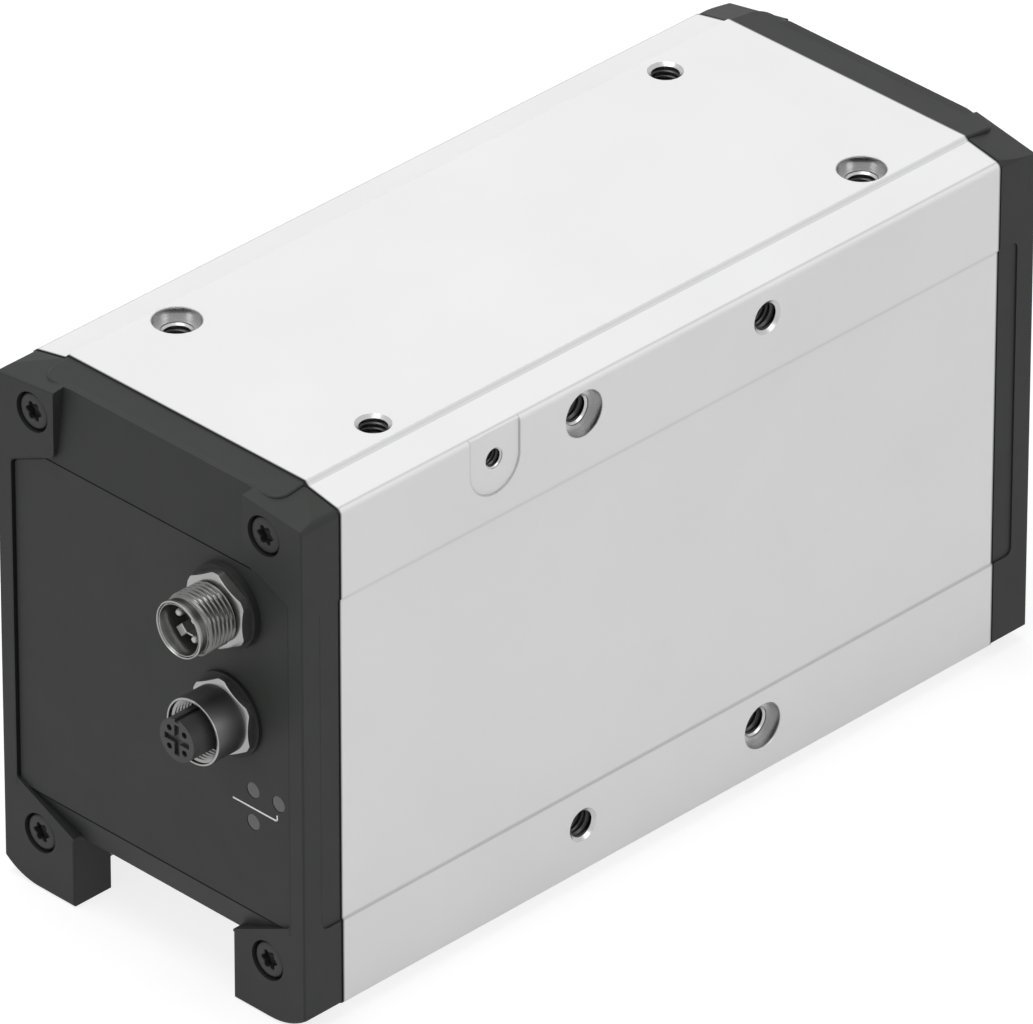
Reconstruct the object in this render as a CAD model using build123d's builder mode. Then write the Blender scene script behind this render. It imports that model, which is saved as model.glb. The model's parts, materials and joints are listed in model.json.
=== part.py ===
from build123d import *
from math import acos, ceil, cos, floor, pi, radians, sin, tan
import os

# Electric parallel gripper with two long-stroke jaws.
# X runs across the housing, Y along it, Z up. The connectors face -Y.
# The origin is the middle of the top face, where a robot flange bolts on.
# Heights are given above the plane that the four feet stand on, unless they say otherwise.

# Housing extrusion
housing_length = 162.3
housing_width = 75.0
housing_height = 102.4
foot_drop = 2.4
shoulder_width = 8.6
flat_step = 0.8
shoulder_drop = 2.35
shoulder_round = 1.3
edge_round = 0.8
strip_low_height = 17.3
strip_high_height = 20.0
side_recess = 0.3
side_wall = 6.0
roof_thickness = 14.0
cavity_round = 1.5
lip_width = 13.0
lip_height = 13.0
rib_reach = 6.5
rib_height = 7.4

# Threaded holes of the housing
m6_radius = 3.0
m6_depth = 12.0
m6_chamfer = 0.3
centring_radius = 4.5
centring_depth = 2.1
centring_chamfer = 0.12
top_pattern_x = 48.0
top_pattern_y = 120.0
side_pattern_y = 45.0
side_pattern_z = 84.0
side_pattern_middle = 51.8
earth_radius = 2.0
earth_depth = 8.0
earth_y = -44.15
earth_below_top = 8.2
earth_pad_below_top = 9.1
earth_pad_width = 12.0
earth_pad_depth = 0.35

# End caps
cap_depth = 8.85
cap_inset = 0.1
cap_lowered = 0.9
boss_drop = 0.5
front_corner_drop = 1.9
rear_corner_drop = 3.1
cap_corner_round = 1.5
cap_edge_round = 0.4
foot_curve_radius = 13.5
foot_curve_run = 8.5
notch_width = 39.8
notch_height = 13.4
panel_sink = 0.65
panel_margin = 3.6
panel_low = 19.2
panel_high = 89.2
relief_round = 1.3
boss_width = 14.35
boss_low_inner = 90.55
boss_low_outer = 85.7
foot_high_inner = 14.1
foot_high_outer = 20.6
front_relief_sink = 2.6
rear_relief_sink = 1.1
relief_notch_sink = 2.3
panel_proud = 0.4
relief_overshoot = 1.0
boss_cut_height = 3.0
band_drop = 0.3
band_front_drop = 0.8
band_overhang = 0.2
band_corner = 3.0
band_edge_round = 0.4
band_root = 1.0
cap_side_pocket = 4.5
cap_pocket_round = 1.5
gasket_thickness = 0.4
gasket_inset = 0.3

# Cap screws
screw_margin = 9.15
screw_low = 11.5
screw_high = 97.5
m4_radius = 2.0
m4_clearance = 0.2
cap_screw_reach = 10.0
cap_screw_head_radius = 3.6
cap_screw_head_height = 2.6
cap_screw_sink = 0.1
head_pocket_gap = 0.25
drive_recess_radius = 1.9
drive_recess_depth = 1.4

# Connectors on the front cap
port_x = 18.8
power_height = 79.4
com_height = 57.5
port_seal_radius = 8.0
power_seal_height = 1.4
com_seal_height = 0.7
nut_across_flats = 14.0
power_nut_height = 2.0
com_nut_height = 1.6
nut_edge_round = 0.4
nut_gap = 0.05
port_neck_radius = 5.6
port_thread_radius = 5.85
port_thread_relief = 0.3
power_reach = 11.8
power_lip_radius = 5.35
power_lip_length = 1.1
power_bore_radius = 4.7
power_bore_depth = 7.6
com_shell_radius = 6.35
com_reach = 8.7
com_bore_radius = 5.6
com_bore_depth = 6.0
com_insert_radius = 4.15
com_insert_proud = 3.7
insert_gap = 0.05
power_insert_length = 1.6
contact_hole_radius = 0.6
contact_circle = 2.6
contact_hole_depth = 4.0
groove_width = 1.2
groove_length = 6.0
groove_depth = 0.7
key_width = 1.0
key_depth = 0.6
pin_radius = 0.75
pin_length = 4.6
pin_circle = 2.5
earth_blade_width = 2.0
earth_blade_height = 1.6
port_hole_gap = 0.15

# Status lights
lens_radius = 1.5
lens_length = 3.0
lens_sink = 0.1
lens_gap = 0.05
lens_near_x = 24.5
lens_far_x = 30.7
lens_high = 44.3
lens_low = 37.8

# Jaw drive: two racks on one pinion, driven through a reduction
jaw_stroke = 42.0
gear_module = 0.75
pressure_angle = 20.0
pinion_teeth = 18
gear_teeth = 54
tooth_backlash = 0.14
root_factor = 1.25
flank_steps = 3

# Jaws and guides
jaw_length = 34.0
jaw_gap_half = 1.0
jaw_neck_width = 38.0
jaw_face_height = 3.4
jaw_flange_gap = 2.0
jaw_flange_height = 3.6
jaw_chamfer = 0.8
lip_clearance = 0.4
rack_pad = 0.5
finger_thread_radius = 2.5
finger_thread_depth = 8.0
finger_pattern_x = 26.0
finger_pattern_y = 20.0
finger_centring_radius = 3.5
finger_centring_depth = 1.6
rail_width = 9.0
rail_height = 6.0
rail_length = 153.6
rail_groove = 1.6
carriage_side_gap = 2.3
rack_side_gap = 0.85
carriage_length = 33.0
carriage_height = 8.0
carriage_over = 3.6
carriage_chamfer = 0.4
guide_gap = 0.1
rack_height = 5.5
rack_thickness = 5.2
rack_overrun = 5.0
rack_lead = 8.0
rack_end_inset = 2.0
plate_thickness = 8.0
plate_side_gap = 0.3
plate_end_gap = 1.0
stop_length = 3.0
stop_width = 9.0
stop_height = 7.0
stop_gap = 0.5
stop_round = 0.75
m3_radius = 1.5
m3_head_radius = 2.75
m3_head_height = 2.4
m3_recess_radius = 0.95
m3_recess_depth = 1.2
screw_hole_gap = 0.1
screw_end_space = 1.0
rail_screw_reach = 5.0
plate_screw_edge = 3.3
plate_screw_pitch = 46.0
plate_screw_count = 4
plate_screw_reach = 5.0
rack_screw_y = 4.0
rack_screw_sink = 6.0
rack_screw_reach = 3.5
rail_screw_pitch = 25.0
rail_screw_count = 6

# Gear train and motor
shaft_radius = 4.0
bearing_outer = 8.0
bearing_width = 5.0
bearing_ring = 1.2
bearing_groove = 0.4
running_gap = 0.05
gear_width = 5.0
gear_gap = 1.6
gear_rim = 3.0
gear_hub_radius = 8.0
gear_web_sink = 1.2
motor_plate_thickness = 6.0
motor_plate_width = 48.0
motor_plate_front = -26.0
motor_plate_rear = 50.0
pillar_radius = 3.5
pillar_x = 19.5
pillar_front_y = -21.5
pillar_rear_y = 45.5
motor_radius = 21.0
motor_top_gap = 4.3
motor_lid_height = 4.5
motor_lid_inset = 1.0
motor_edge_round = 0.8
motor_shaft_radius = 2.5
motor_boss_radius = 9.0
motor_boss_height = 2.0
motor_screw_circle = 15.5
motor_screw_reach = 4.0
motor_bore_depth = 15.5
motor_end_play = 0.5

# Electronics
board_thickness = 1.6
board_corner = 1.5
port_board_y = -75.5
port_board_height = 50.0
control_board_front = -70.0
control_board_rear = 72.0
control_board_height = 42.0
heat_pad_thickness = 3.0
heat_pad_length = 112.0
heat_pad_height = 30.0
capacitor_radius = 5.0
capacitor_height = 14.0
capacitor_pitch = 11.5
capacitor_count = 3
capacitor_middle_y = -50.0
capacitor_round = 0.8

# Places worked out from the sizes above
half_length = housing_length / 2
half_width = housing_width / 2
half_flat = half_width - shoulder_width
channel_width = housing_width - 2 * lip_width
panel_half_width = half_width - panel_margin
boss_inner = half_width - boss_width
screw_x = half_width - screw_margin
top_z = 0.0
base_z = top_z - housing_height
foot_z = base_z - foot_drop
strip_low_z = base_z + strip_low_height
strip_high_z = top_z - strip_high_height
cavity_half = half_width - side_wall
cavity_top = top_z - roof_thickness
lip_z = base_z + lip_height
shoulder_z = top_z - shoulder_drop
cap_back = half_length + gasket_thickness
cap_face = cap_back + cap_depth
panel_face = cap_face - panel_sink
side_middle_z = base_z + side_pattern_middle
screw_heights = (foot_z + screw_low, foot_z + screw_high)
notch_z = foot_z + notch_height
panel_low_z = foot_z + panel_low
panel_high_z = foot_z + panel_high
power_z = foot_z + power_height
com_z = foot_z + com_height
lens_spots = [
    (lens_near_x, foot_z + lens_high),
    (lens_far_x, foot_z + lens_high),
    (lens_near_x, foot_z + lens_low),
]

flange_low = lip_z + lip_clearance
flange_top = flange_low + jaw_flange_height
carriage_top = flange_top + carriage_height
rail_low = carriage_top - carriage_over
plate_low = rail_low + rail_height
plate_top = plate_low + plate_thickness
rib_low = plate_top
rib_top = rib_low + rib_height
rib_inner = cavity_half - rib_reach
rack_low = flange_top + rack_pad
rack_top = rack_low + rack_height
plate_screw_x = cavity_half - plate_screw_edge
tooth_pitch = pi * gear_module
pinion_pitch_radius = gear_module * pinion_teeth / 2
carriage_inner = pinion_pitch_radius + rack_thickness + rack_side_gap
carriage_outer = cavity_half - carriage_side_gap
carriage_width = carriage_outer - carriage_inner
rail_x = (carriage_inner + carriage_outer) / 2
gear_pitch_radius = gear_module * gear_teeth / 2
motor_y = pinion_pitch_radius + gear_pitch_radius
jaw_outer = jaw_gap_half + jaw_length
jaw_middle = (jaw_gap_half + jaw_outer) / 2
gear_low = plate_top + gear_gap
gear_top = gear_low + gear_width
motor_plate_low = gear_top + gear_gap
motor_plate_top = motor_plate_low + motor_plate_thickness
motor_height = cavity_top - motor_top_gap - motor_lid_height - motor_plate_top

os.makedirs("parts", exist_ok=True)


def save(builder, name):
    builder.part.label = name
    export_step(builder.part, f"parts/{name}.step")


# Shared shapes

out_of_plane = (Align.CENTER, Align.CENTER, Align.MIN)
near = 0.01


def both_halves(points):
    """A right half outline, given from the top middle to the bottom middle, and its mirror image."""
    return points + [(-x, z) for x, z in reversed(points) if x != 0]


def corners(sketch, x, z):
    """The two corners of a sketch at plus and minus x and at height z."""
    return [v for v in sketch.vertices() if abs(abs(v.X) - x) < near and abs(v.Y - z) < near]


def screw_spots(up):
    """The four cap screws on an end plane, where up is 1 if its second axis points up."""
    return [(x, up * z) for x in (-screw_x, screw_x) for z in screw_heights]


def end_plane(side, y):
    """Plane across the housing at distance y from the middle, facing out of that end."""
    return Plane((0, side * y, 0), x_dir=(1, 0, 0), z_dir=(0, side, 0))


def looking_down(z, y=0.0):
    """Plane at height z that faces down, with its second axis along -Y."""
    return Plane((0, y, z), x_dir=(1, 0, 0), z_dir=(0, 0, -1))


def port_plane(z, out=0.0):
    """Plane on a connector's axis, at a distance out of the front panel."""
    return Plane((port_x, -panel_face - out, z), x_dir=(1, 0, 0), z_dir=(0, -1, 0))


# Housing

housing_points = [
    (0, top_z),
    (half_flat, top_z),
    (half_flat + flat_step, top_z - flat_step),
    (half_width, shoulder_z),
    (half_width, strip_high_z),
    (half_width - side_recess, strip_high_z - side_recess),
    (half_width - side_recess, strip_low_z + side_recess),
    (half_width, strip_low_z),
    (half_width, base_z),
    (0, base_z),
]


def inner_spaces():
    """Jaw channel, guide space, rib space and drive space, open from end to end."""
    with Locations((0, (base_z + lip_z) / 2)):
        Rectangle(channel_width, lip_height, mode=Mode.SUBTRACT)
    with Locations((0, (lip_z + rib_low) / 2)):
        Rectangle(2 * cavity_half, rib_low - lip_z, mode=Mode.SUBTRACT)
    with Locations((0, (rib_low + rib_top) / 2)):
        Rectangle(2 * rib_inner, rib_height, mode=Mode.SUBTRACT)
    with Locations((0, (rib_top + cavity_top) / 2)):
        RectangleRounded(2 * cavity_half, cavity_top - rib_top, cavity_round, mode=Mode.SUBTRACT)


side_plane = Plane((half_width, 0, side_middle_z), x_dir=(0, 1, 0), z_dir=(1, 0, 0))
top_plane = Plane((0, 0, top_z))

with BuildPart() as housing:
    with BuildSketch(Plane.XZ) as section:
        Polygon(*both_halves(housing_points), align=None)
        fillet(corners(section, half_width, shoulder_z), shoulder_round)
        fillet(corners(section, half_width, base_z), edge_round)
        inner_spaces()
    extrude(amount=half_length, both=True)
    # Screw holes for the caps
    for side in (-1, 1):
        with Locations(end_plane(side, half_length)):
            with Locations(*screw_spots(-side)):
                Hole(m4_radius, cap_screw_reach + screw_end_space)
    # Robot mounting pattern in the top, with a centring bore on one diagonal
    with Locations(top_plane):
        for x in (-top_pattern_x / 2, top_pattern_x / 2):
            for y in (-top_pattern_y / 2, top_pattern_y / 2):
                with Locations((x, y)):
                    Hole(m6_radius, m6_depth)
                    if x * y > 0:
                        Hole(centring_radius, centring_depth)
    # Bracket mounting pattern in one side, made the same way
    with Locations(side_plane):
        for along in (-side_pattern_y / 2, side_pattern_y / 2):
            for up in (-side_pattern_z / 2, side_pattern_z / 2):
                with Locations((along, up)):
                    Hole(m6_radius, m6_depth)
                    if along * up < 0:
                        Hole(centring_radius, centring_depth)
    # Screw holes for the guide plate, up into the ribs
    with Locations(looking_down(rib_low)):
        with GridLocations(2 * plate_screw_x, plate_screw_pitch, 2, plate_screw_count):
            Hole(m3_radius, plate_screw_reach + screw_end_space)
    # Earth thread in a shallow pad that is open to the shoulder
    pad_plane = Plane((half_width, earth_y, top_z - earth_pad_below_top), x_dir=(0, 1, 0), z_dir=(1, 0, 0))
    with BuildSketch(pad_plane):
        Circle(earth_pad_width / 2)
        with Locations((0, earth_pad_below_top / 2)):
            Rectangle(earth_pad_width, earth_pad_below_top)
    extrude(amount=-earth_pad_depth, mode=Mode.SUBTRACT)
    with Locations(Plane((half_width, earth_y, top_z - earth_below_top), x_dir=(0, 1, 0), z_dir=(1, 0, 0))):
        Hole(earth_radius, earth_depth)
    # Hole mouths
    outer_mouths = [e for e in housing.edges().filter_by(GeomType.CIRCLE)
                    if abs(e.arc_center.X - half_width) < near or abs(e.arc_center.Z - top_z) < near]
    chamfer([e for e in outer_mouths if abs(e.radius - m6_radius) < near], m6_chamfer)
    chamfer([e for e in outer_mouths if abs(e.radius - centring_radius) < near], centring_chamfer)
save(housing, "housing")


# End caps: a moulded block with four corner bosses, the lower two shaped as feet

cap_half = half_width - cap_inset
cap_high_z = top_z - cap_lowered
cap_corner_z = shoulder_z - cap_inset
shoulder_start = half_flat + flat_step
notch_half = notch_width / 2
foot_side_z = foot_z + foot_curve_radius - (foot_curve_radius**2 - foot_curve_run**2) ** 0.5
foot_curve = ThreePointArc(
    (cap_half, foot_side_z),
    (
        cap_half - foot_curve_run / 2,
        foot_z + foot_curve_radius - (foot_curve_radius**2 - foot_curve_run**2 / 4) ** 0.5,
    ),
    (cap_half - foot_curve_run, foot_z),
)
over_z = top_z + relief_overshoot
clear_y = cap_face + relief_overshoot
relief_points = [
    (0, over_z),
    (boss_inner, over_z),
    (boss_inner, foot_z + boss_low_inner),
    (panel_half_width, foot_z + boss_low_outer),
    (panel_half_width, foot_z + foot_high_outer),
    (notch_half, foot_z + foot_high_inner),
    (notch_half, foot_z),
    (0, foot_z),
]


def relief(top_sink):
    """What is cut from a cap's face: a flat panel, with a slope to the notch and one to the top."""
    slope_low = (relief_notch_sink - panel_sink - panel_proud) / (panel_low - notch_height)
    slope_high = (top_sink - panel_sink) / (cap_high_z - panel_high_z)
    side_points = [
        (-clear_y, foot_z),
        (-panel_face + panel_proud + slope_low * panel_low, foot_z),
        (-panel_face + panel_proud, panel_low_z),
        (-panel_face, panel_low_z),
        (-panel_face, panel_high_z),
        (-panel_face + slope_high * (over_z - panel_high_z), over_z),
        (-clear_y, over_z),
    ]
    with BuildPart() as cut:
        with BuildSketch(Plane.XZ.offset(cap_back)) as front:
            Polygon(*both_halves(relief_points), align=None)
            fillet(corners(front, boss_inner, foot_z + boss_low_inner), relief_round)
            fillet(corners(front, panel_half_width, foot_z + boss_low_outer), relief_round)
            fillet(corners(front, panel_half_width, foot_z + foot_high_outer), relief_round)
        extrude(amount=clear_y - cap_back)
        with BuildSketch(Plane.YZ):
            Polygon(*side_points, align=None)
        extrude(amount=half_width, both=True, mode=Mode.INTERSECT)
    return cut.part


def band(top_sink):
    """The low strip on top of a cap, which covers the end of the housing's raised flat."""
    front_y = -cap_face + top_sink
    with BuildPart() as strip:
        with BuildSketch(Plane.YZ):
            Polygon(
                (-cap_back, cap_high_z - band_root),
                (-cap_back, top_z - band_drop),
                (front_y, top_z - band_drop - band_front_drop),
                (front_y, cap_high_z - band_root),
                align=None,
            )
        extrude(amount=half_flat + band_overhang, both=True)
        fillet(strip.edges().filter_by(Axis.Z).group_by(Axis.Y)[0], band_corner)
        front_rim = strip.faces().sort_by(Axis.Z)[-1].edges().sort_by(Axis.Y)[:-1]
        fillet(front_rim, band_edge_round)
    return strip.part


def boss_plane(side, corner_drop):
    """The sloping top of one upper boss: level with the shoulder at the housing, lower at the front."""
    inner = Vector(side * boss_inner, -cap_face, cap_high_z - boss_drop)
    outer = Vector(side * cap_half, -cap_face, cap_high_z - corner_drop)
    back = Vector(side * shoulder_start, -cap_back, cap_high_z)
    up = (outer - inner).cross(back - inner) * side
    return Plane(inner, x_dir=outer - inner, z_dir=up)


def end_cap(top_sink, corner_drop):
    """The cap at the front end, without its connector holes."""
    with BuildPart() as cap:
        with BuildSketch(Plane.XZ.offset(cap_back)) as face:
            with BuildLine():
                Polyline((0, cap_high_z), (shoulder_start, cap_high_z), (cap_half, cap_corner_z))
                Line((cap_half, cap_corner_z), (cap_half, foot_side_z))
                add(foot_curve)
                Polyline(
                    (cap_half - foot_curve_run, foot_z),
                    (notch_half, foot_z),
                    (notch_half, notch_z),
                    (0, notch_z),
                )
                mirror(about=Plane.YZ)
            make_face()
            fillet(corners(face, cap_half, cap_corner_z), cap_corner_round)
        extrude(amount=cap_depth)
        for side in (-1, 1):
            with Locations(boss_plane(side, corner_drop)):
                Box(housing_width, housing_width, boss_cut_height, align=out_of_plane, mode=Mode.SUBTRACT)
        fillet(cap.faces().sort_by(Axis.Y)[0].edges(), cap_edge_round)
        add(band(top_sink))
        add(relief(top_sink), mode=Mode.SUBTRACT)
        # The recess of the housing's sides runs on into the cap
        for side in (-1, 1):
            with BuildSketch(Plane.YZ.offset(side * cap_half)):
                with Locations((-cap_back, (strip_low_z + strip_high_z) / 2)):
                    RectangleRounded(2 * cap_side_pocket, strip_high_z - strip_low_z, cap_pocket_round)
            extrude(amount=-side * side_recess, mode=Mode.SUBTRACT)
        with Locations(end_plane(-1, cap_face)):
            with Locations(*screw_spots(1)):
                CounterBoreHole(
                    m4_radius + m4_clearance,
                    cap_screw_head_radius + head_pocket_gap,
                    cap_screw_sink + cap_screw_head_height,
                    cap_depth,
                )
    return cap


front_cap = end_cap(front_relief_sink, front_corner_drop)
with front_cap:
    for z in (power_z, com_z):
        with Locations(port_plane(z)):
            Hole(port_thread_radius + port_hole_gap, cap_depth)
    with Locations(end_plane(-1, panel_face)):
        with Locations(*lens_spots):
            Hole(lens_radius + lens_gap, lens_length + lens_sink)
save(front_cap, "front_cap")

plain_cap = end_cap(rear_relief_sink, rear_corner_drop)
with BuildPart() as rear_cap:
    add(mirror(plain_cap.part, about=Plane.XZ, mode=Mode.PRIVATE))
save(rear_cap, "rear_cap")

for side, name in ((-1, "front_gasket"), (1, "rear_gasket")):
    with BuildPart() as gasket:
        with BuildSketch(end_plane(side, half_length)):
            Polygon(*[(x, -side * z) for x, z in both_halves(housing_points)], align=None)
            offset(amount=-gasket_inset, kind=Kind.INTERSECTION, mode=Mode.REPLACE)
            with Locations((0, -side * (base_z + cavity_top) / 2)):
                Rectangle(channel_width, cavity_top - base_z + 2 * gasket_inset, mode=Mode.SUBTRACT)
            with Locations((0, -side * (lip_z + cavity_top) / 2)):
                Rectangle(2 * cavity_half, cavity_top - lip_z, mode=Mode.SUBTRACT)
            with Locations(*screw_spots(-side)):
                Circle(m4_radius + m4_clearance, mode=Mode.SUBTRACT)
        extrude(amount=gasket_thickness)
    save(gasket, name)


def screw(shank, head, head_height, reach, recess, recess_depth):
    """Cylinder-head screw in the open builder: head towards +Z of the location, from the seat."""
    Cylinder(head, head_height, align=out_of_plane)
    with Locations((0, 0, -reach)):
        Cylinder(shank, reach, align=out_of_plane)
    with Locations((0, 0, head_height)):
        Hole(recess, recess_depth)


def m3_screw(reach):
    """M3 screw in the open builder, as for screw()."""
    screw(m3_radius, m3_head_radius, m3_head_height, reach, m3_recess_radius, m3_recess_depth)


cap_screw_length = cap_screw_reach + cap_depth + gasket_thickness - cap_screw_sink - cap_screw_head_height
for side, name in ((-1, "front_cap_screws"), (1, "rear_cap_screws")):
    with BuildPart() as cap_screws:
        seat = cap_face - cap_screw_sink - cap_screw_head_height
        with Locations(end_plane(side, seat)):
            with Locations(*screw_spots(-side)):
                screw(m4_radius, cap_screw_head_radius, cap_screw_head_height, cap_screw_length,
                      drive_recess_radius, drive_recess_depth)
    save(cap_screws, name)


# Connectors on the front panel: a metal body, its hexagon nut, a seal and a contact carrier

board_front = -port_board_y + board_thickness / 2
com_nut_front = com_seal_height + com_nut_height
power_thread_start = power_seal_height + power_nut_height + port_thread_relief
port_tail = panel_face - board_front

with BuildPart() as power_connector:
    with Locations(port_plane(power_z, -port_tail)):
        Cylinder(port_neck_radius, port_tail + power_thread_start, align=out_of_plane)
    with Locations(port_plane(power_z, power_thread_start)):
        Cylinder(port_thread_radius, power_reach - power_lip_length - power_thread_start, align=out_of_plane)
    with Locations(port_plane(power_z, power_reach - power_lip_length)):
        Cylinder(power_lip_radius, power_lip_length, align=out_of_plane)
    with Locations(port_plane(power_z, power_reach)):
        Hole(power_bore_radius, power_bore_depth)
save(power_connector, "power_connector")

power_floor = power_reach - power_bore_depth
with BuildPart() as power_insert:
    with Locations(port_plane(power_z, power_floor)):
        Cylinder(power_bore_radius - insert_gap, power_insert_length, align=out_of_plane)
        with PolarLocations(pin_circle, 4, start_angle=45):
            Hole(pin_radius, power_insert_length)
        Box(earth_blade_width, earth_blade_height, 2 * power_insert_length, mode=Mode.SUBTRACT)
save(power_insert, "power_insert")

with BuildPart() as power_contacts:
    with Locations(port_plane(power_z, power_floor)):
        with PolarLocations(pin_circle, 4, start_angle=45):
            Cylinder(pin_radius, pin_length, align=out_of_plane)
        Box(earth_blade_width, earth_blade_height, pin_length, align=out_of_plane)
save(power_contacts, "power_contacts")

with BuildPart() as com_connector:
    with Locations(port_plane(com_z, -port_tail)):
        Cylinder(port_neck_radius, port_tail + com_nut_front, align=out_of_plane)
    with Locations(port_plane(com_z, com_nut_front)):
        Cylinder(com_shell_radius, com_reach - com_nut_front, align=out_of_plane)
    with Locations(port_plane(com_z, com_reach)):
        Hole(com_bore_radius, com_bore_depth)
save(com_connector, "com_connector")

com_floor = com_reach - com_bore_depth
com_insert_front = com_reach + com_insert_proud
with BuildPart() as com_insert:
    with Locations(port_plane(com_z, com_floor)):
        Cylinder(com_insert_radius, com_insert_front - com_floor, align=out_of_plane)
    with Locations(port_plane(com_z, com_insert_front)):
        with PolarLocations(contact_circle, 4, start_angle=45):
            Hole(contact_hole_radius, contact_hole_depth)
        Box(groove_width, groove_length, 2 * groove_depth, mode=Mode.SUBTRACT)
        Box(groove_length, groove_width, 2 * groove_depth, mode=Mode.SUBTRACT)
        with Locations((0, com_insert_radius)):
            Box(key_width, 2 * key_depth, 2 * (com_insert_front - com_floor), mode=Mode.SUBTRACT)
save(com_insert, "com_insert")

ports = (
    ("power", power_z, power_seal_height, power_nut_height),
    ("com", com_z, com_seal_height, com_nut_height),
)
for name, z, seal_height, nut_height in ports:
    with BuildPart() as seal:
        with Locations(port_plane(z)):
            Cylinder(port_seal_radius, seal_height, align=out_of_plane)
            Hole(port_neck_radius + nut_gap, seal_height)
    save(seal, f"{name}_seal")
    with BuildPart() as nut:
        with BuildSketch(port_plane(z, seal_height)):
            RegularPolygon(nut_across_flats / 2, 6, major_radius=False, rotation=30)
            Circle(port_neck_radius + nut_gap, mode=Mode.SUBTRACT)
        extrude(amount=nut_height)
        with BuildSketch(port_plane(z, seal_height)):
            Circle(nut_across_flats / cos(pi / 6) / 2 - nut_edge_round / 2)
        extrude(amount=nut_height, mode=Mode.INTERSECT)
    save(nut, f"{name}_nut")

with BuildPart() as status_lenses:
    with Locations(end_plane(-1, panel_face - lens_sink - lens_length)):
        with Locations(*lens_spots):
            Cylinder(lens_radius, lens_length, align=out_of_plane)
save(status_lenses, "status_lenses")


# Guide plate under the ribs, with the rails and their end stops below it

plate_half_x = cavity_half - plate_side_gap
plate_half_y = half_length - plate_end_gap
pillar_spots = [(x, y) for x in (-pillar_x, pillar_x) for y in (pillar_front_y, pillar_rear_y)]

with BuildPart() as guide_plate:
    with Locations((0, 0, plate_low)):
        Box(2 * plate_half_x, 2 * plate_half_y, plate_thickness, align=out_of_plane)
    with Locations((0, 0, plate_top)):
        CounterBoreHole(shaft_radius + 2 * bearing_ring, bearing_outer, bearing_width, plate_thickness)
    with Locations(looking_down(plate_low)):
        with GridLocations(2 * rail_x, rail_screw_pitch, 2, rail_screw_count):
            Hole(m3_radius, rail_screw_reach + screw_end_space)
        with GridLocations(2 * plate_screw_x, plate_screw_pitch, 2, plate_screw_count):
            CounterBoreHole(m3_radius + screw_hole_gap, m3_head_radius + screw_hole_gap,
                            m3_head_height, plate_thickness)
save(guide_plate, "guide_plate")

with BuildPart() as plate_screws:
    with Locations(looking_down(plate_low + m3_head_height)):
        with GridLocations(2 * plate_screw_x, plate_screw_pitch, 2, plate_screw_count):
            m3_screw(plate_thickness - m3_head_height + plate_screw_reach)
save(plate_screws, "plate_screws")

with BuildPart() as guide_rails:
    with BuildSketch(Plane.XZ):
        for x in (-rail_x, rail_x):
            with Locations((x, rail_low + rail_height / 2)):
                Rectangle(rail_width, rail_height)
            for side in (-1, 1):
                with Locations((x + side * rail_width / 2, rail_low + rail_height / 2)):
                    Rectangle(rail_groove, rail_groove, rotation=45, mode=Mode.SUBTRACT)
    extrude(amount=rail_length / 2, both=True)
    with Locations(looking_down(rail_low)):
        with GridLocations(2 * rail_x, rail_screw_pitch, 2, rail_screw_count):
            CounterBoreHole(m3_radius + screw_hole_gap, m3_head_radius + screw_hole_gap,
                            m3_head_height, rail_height)
save(guide_rails, "guide_rails")

with BuildPart() as rail_screws:
    with Locations(looking_down(rail_low + m3_head_height)):
        with GridLocations(2 * rail_x, rail_screw_pitch, 2, rail_screw_count):
            m3_screw(rail_height - m3_head_height + rail_screw_reach)
save(rail_screws, "rail_screws")

stop_middle = jaw_middle + carriage_length / 2 + jaw_stroke + stop_gap + stop_length / 2
with BuildPart() as end_stops:
    with Locations((0, 0, plate_low - stop_height)):
        with GridLocations(2 * rail_x, 2 * stop_middle, 2, 2):
            Box(stop_width, stop_length, stop_height, align=out_of_plane)
    fillet(end_stops.edges().filter_by(Axis.Z), stop_round)
save(end_stops, "end_stops")


# Jaws: a T-shaped block that hangs from two carriages and is pulled by its rack

jaw_low = foot_z + jaw_face_height
finger_x = finger_pattern_x / 2
finger_y = finger_pattern_y / 2
rack_x = pinion_pitch_radius + rack_thickness / 2
rack_screw_spots = [(rack_x, -rack_screw_y), (rack_x, rack_screw_y)]

with BuildPart() as front_jaw:
    with BuildSketch(Plane.XZ.offset(jaw_middle)):
        with Locations((0, (jaw_low + flange_low) / 2)):
            Rectangle(jaw_neck_width, flange_low - jaw_low)
        with Locations((0, (flange_low + flange_top) / 2)):
            Rectangle(2 * (cavity_half - jaw_flange_gap), jaw_flange_height)
        with Locations((rack_x, flange_top + rack_pad / 2)):
            Rectangle(rack_thickness, rack_pad)
    extrude(amount=jaw_length / 2, both=True)
    chamfer(front_jaw.faces().sort_by(Axis.Z)[0].edges(), jaw_chamfer)
    with Locations(looking_down(jaw_low, -jaw_middle)):
        with GridLocations(finger_pattern_x, finger_pattern_y, 2, 2):
            Hole(finger_thread_radius, finger_thread_depth)
        with Locations((-finger_x, -finger_y), (finger_x, finger_y)):
            Hole(finger_centring_radius, finger_centring_depth)
        with Locations(*rack_screw_spots):
            CounterBoreHole(m3_radius + screw_hole_gap, m3_head_radius + screw_hole_gap,
                            rack_screw_sink, rack_low - jaw_low)
save(front_jaw, "front_jaw")

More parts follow.
